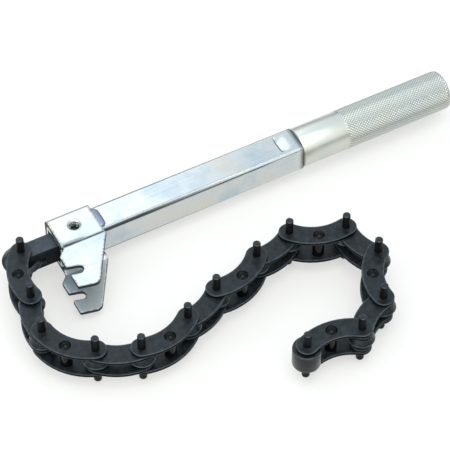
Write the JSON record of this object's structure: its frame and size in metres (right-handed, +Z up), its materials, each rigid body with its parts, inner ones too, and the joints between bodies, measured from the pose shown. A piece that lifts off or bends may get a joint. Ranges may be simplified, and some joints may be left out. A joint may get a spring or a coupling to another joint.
{
  "type": "chain pipe cutter",
  "caption": "Chain pipe cutter whose screw handle draws a square bar and a chain of cutting wheels towards a hooked bracket.",
  "frame": {"origin": "on the floor under the middle of the whole tool, with the tool lying on the ends of its chain pins", "axes": "+X along the square tube towards the handle's end, +Y away from the chain, +Z up along the chain's pins"},
  "size_m": [0.3149, 0.1644, 0.039],
  "materials": {
    "zinc_plate": "bright zinc plate, slightly mottled",
    "weld_metal": "zinc-plated weld, bluish",
    "oiled_steel": "bare steel with grease",
    "black_oxide": "black oxide, semi-gloss, lighter at the edges",
    "pin_steel": "black oxide, semi-gloss, brighter on the ends",
    "wheel_steel": "hardened steel, dark and glossy"
  },
  "bodies": {
    "housing": {"square_tube": "zinc_plate", "hook_bracket": "zinc_plate", "weld_beads": "weld_metal"},
    "handle": {"knurled_handle": "zinc_plate", "lead_screw": "oiled_steel"},
    "draw_bar": {"draw_bar": "black_oxide"},
    "link_01": {"link_01_plates": "black_oxide", "link_01_pins": "pin_steel", "link_01_rivet": "pin_steel"},
    "link_02": {"link_02_plates": "black_oxide"},
    "link_03": {"link_03_plates": "black_oxide", "link_03_pins": "pin_steel", "link_03_rivet": "pin_steel"},
    "link_04": {"link_04_plates": "black_oxide"},
    "link_05": {"link_05_plates": "black_oxide", "link_05_pins": "pin_steel", "link_05_rivet": "pin_steel"},
    "link_06": {"link_06_plates": "black_oxide"},
    "link_07": {"link_07_plates": "black_oxide", "link_07_pins": "pin_steel", "link_07_rivet": "pin_steel"},
    "link_08": {"link_08_plates": "black_oxide"},
    "link_09": {"link_09_plates": "black_oxide", "link_09_pins": "pin_steel", "link_09_rivet": "pin_steel"},
    "link_10": {"link_10_plates": "black_oxide"},
    "link_11": {"link_11_plates": "black_oxide", "link_11_pins": "pin_steel", "link_11_rivet": "pin_steel"},
    "link_12": {"link_12_plates": "black_oxide"},
    "link_13": {"link_13_plates": "black_oxide", "link_13_pins": "pin_steel", "link_13_rivet": "pin_steel"},
    "lead_wheel": {"lead_wheel": "wheel_steel"},
    "cutting_wheel_01": {"cutting_wheel_01": "wheel_steel"},
    "cutting_wheel_02": {"cutting_wheel_02": "wheel_steel"},
    "cutting_wheel_03": {"cutting_wheel_03": "wheel_steel"},
    "cutting_wheel_04": {"cutting_wheel_04": "wheel_steel"},
    "cutting_wheel_05": {"cutting_wheel_05": "wheel_steel"},
    "cutting_wheel_06": {"cutting_wheel_06": "wheel_steel"},
    "cutting_wheel_07": {"cutting_wheel_07": "wheel_steel"},
    "cutting_wheel_08": {"cutting_wheel_08": "wheel_steel"},
    "cutting_wheel_09": {"cutting_wheel_09": "wheel_steel"},
    "cutting_wheel_10": {"cutting_wheel_10": "wheel_steel"},
    "cutting_wheel_11": {"cutting_wheel_11": "wheel_steel"},
    "cutting_wheel_12": {"cutting_wheel_12": "wheel_steel"},
    "end_roller": {"end_roller": "wheel_steel"}
  },
  "joints": [
    {"name": "handle_turn", "type": "hinge", "parent": "housing", "child": "handle", "pos_m": [0.0503, 0.0695, 0.0195], "axis": [-1, 0, 0], "range_deg": [-5280, 1920]},
    {"name": "bar_slide", "type": "slide", "parent": "housing", "child": "draw_bar", "axis": [1, 0, 0], "range_m": [-0.022, 0.008]},
    {"name": "link_01_swing", "type": "hinge", "parent": "draw_bar", "child": "link_01", "pos_m": [-0.1357, 0.0695, 0.0195], "axis": [0, 0, 1], "range_deg": [-135, 14]},
    {"name": "link_02_swing", "type": "hinge", "parent": "link_01", "child": "link_02", "pos_m": [-0.1445, 0.03666, 0.0195], "axis": [0, 0, -1], "range_deg": [-14, 75]},
    {"name": "link_03_swing", "type": "hinge", "parent": "link_02", "child": "link_03", "pos_m": [-0.14946, 0.01114, 0.0195], "axis": [0, 0, 1], "range_deg": [-100, 13]},
    {"name": "link_04_swing", "type": "hinge", "parent": "link_03", "child": "link_04", "pos_m": [-0.12853, -0.01566, 0.0195], "axis": [0, 0, -1], "range_deg": [-17, 94]},
    {"name": "link_05_swing", "type": "hinge", "parent": "link_04", "child": "link_05", "pos_m": [-0.10496, -0.02664, 0.0195], "axis": [0, 0, 1], "range_deg": [-105, 21]},
    {"name": "link_06_swing", "type": "hinge", "parent": "link_05", "child": "link_06", "pos_m": [-0.07171, -0.01958, 0.0195], "axis": [0, 0, -1], "range_deg": [-28, 80]},
    {"name": "link_07_swing", "type": "hinge", "parent": "link_06", "child": "link_07", "pos_m": [-0.04777, -0.00942, 0.0195], "axis": [0, 0, 1], "range_deg": [-65, 36]},
    {"name": "link_08_swing", "type": "hinge", "parent": "link_07", "child": "link_08", "pos_m": [-0.01544, 0.00109, 0.0195], "axis": [0, 0, -1], "range_deg": [-60, 46]},
    {"name": "link_09_swing", "type": "hinge", "parent": "link_08", "child": "link_09", "pos_m": [0.0099, 0.00694, 0.0195], "axis": [0, 0, 1], "range_deg": [-37, 90]},
    {"name": "link_10_swing", "type": "hinge", "parent": "link_09", "child": "link_10", "pos_m": [0.04164, -0.00525, 0.0195], "axis": [0, 0, -1], "range_deg": [-120, 22]},
    {"name": "link_11_swing", "type": "hinge", "parent": "link_10", "child": "link_11", "pos_m": [0.0488, -0.03024, 0.0195], "axis": [0, 0, 1], "range_deg": [-33, 110]},
    {"name": "link_12_swing", "type": "hinge", "parent": "link_11", "child": "link_12", "pos_m": [0.0339, -0.0608, 0.0195], "axis": [0, 0, -1], "range_deg": [-100, 42]},
    {"name": "link_13_swing", "type": "hinge", "parent": "link_12", "child": "link_13", "pos_m": [0.01161, -0.07419, 0.0195], "axis": [0, 0, 1], "range_deg": [-37, 105]},
    {"name": "lead_wheel_spin", "type": "hinge", "parent": "link_01", "child": "lead_wheel", "pos_m": [-0.1357, 0.0695, 0.0195], "axis": [0, 0, 1], "continuous": true},
    {"name": "cutting_wheel_01_spin", "type": "hinge", "parent": "link_01", "child": "cutting_wheel_01", "pos_m": [-0.1445, 0.03666, 0.0195], "axis": [0, 0, 1], "continuous": true},
    {"name": "cutting_wheel_02_spin", "type": "hinge", "parent": "link_03", "child": "cutting_wheel_02", "pos_m": [-0.14946, 0.01114, 0.0195], "axis": [0, 0, 1], "continuous": true},
    {"name": "cutting_wheel_03_spin", "type": "hinge", "parent": "link_03", "child": "cutting_wheel_03", "pos_m": [-0.12853, -0.01566, 0.0195], "axis": [0, 0, 1], "continuous": true},
    {"name": "cutting_wheel_04_spin", "type": "hinge", "parent": "link_05", "child": "cutting_wheel_04", "pos_m": [-0.10496, -0.02664, 0.0195], "axis": [0, 0, 1], "continuous": true},
    {"name": "cutting_wheel_05_spin", "type": "hinge", "parent": "link_05", "child": "cutting_wheel_05", "pos_m": [-0.07171, -0.01958, 0.0195], "axis": [0, 0, 1], "continuous": true},
    {"name": "cutting_wheel_06_spin", "type": "hinge", "parent": "link_07", "child": "cutting_wheel_06", "pos_m": [-0.04777, -0.00942, 0.0195], "axis": [0, 0, 1], "continuous": true},
    {"name": "cutting_wheel_07_spin", "type": "hinge", "parent": "link_07", "child": "cutting_wheel_07", "pos_m": [-0.01544, 0.00109, 0.0195], "axis": [0, 0, 1], "continuous": true},
    {"name": "cutting_wheel_08_spin", "type": "hinge", "parent": "link_09", "child": "cutting_wheel_08", "pos_m": [0.0099, 0.00694, 0.0195], "axis": [0, 0, 1], "continuous": true},
    {"name": "cutting_wheel_09_spin", "type": "hinge", "parent": "link_09", "child": "cutting_wheel_09", "pos_m": [0.04164, -0.00525, 0.0195], "axis": [0, 0, 1], "continuous": true},
    {"name": "cutting_wheel_10_spin", "type": "hinge", "parent": "link_11", "child": "cutting_wheel_10", "pos_m": [0.0488, -0.03024, 0.0195], "axis": [0, 0, 1], "continuous": true},
    {"name": "cutting_wheel_11_spin", "type": "hinge", "parent": "link_11", "child": "cutting_wheel_11", "pos_m": [0.0339, -0.0608, 0.0195], "axis": [0, 0, 1], "continuous": true},
    {"name": "cutting_wheel_12_spin", "type": "hinge", "parent": "link_13", "child": "cutting_wheel_12", "pos_m": [0.01161, -0.07419, 0.0195], "axis": [0, 0, 1], "continuous": true},
    {"name": "end_roller_spin", "type": "hinge", "parent": "link_13", "child": "end_roller", "pos_m": [-0.02213, -0.07004, 0.0195], "axis": [0, 0, 1], "continuous": true}
  ],
  "couplings": [
    {"joint": "bar_slide", "follows": "handle_turn", "m_per_rad": 0.00023873}
  ]
}
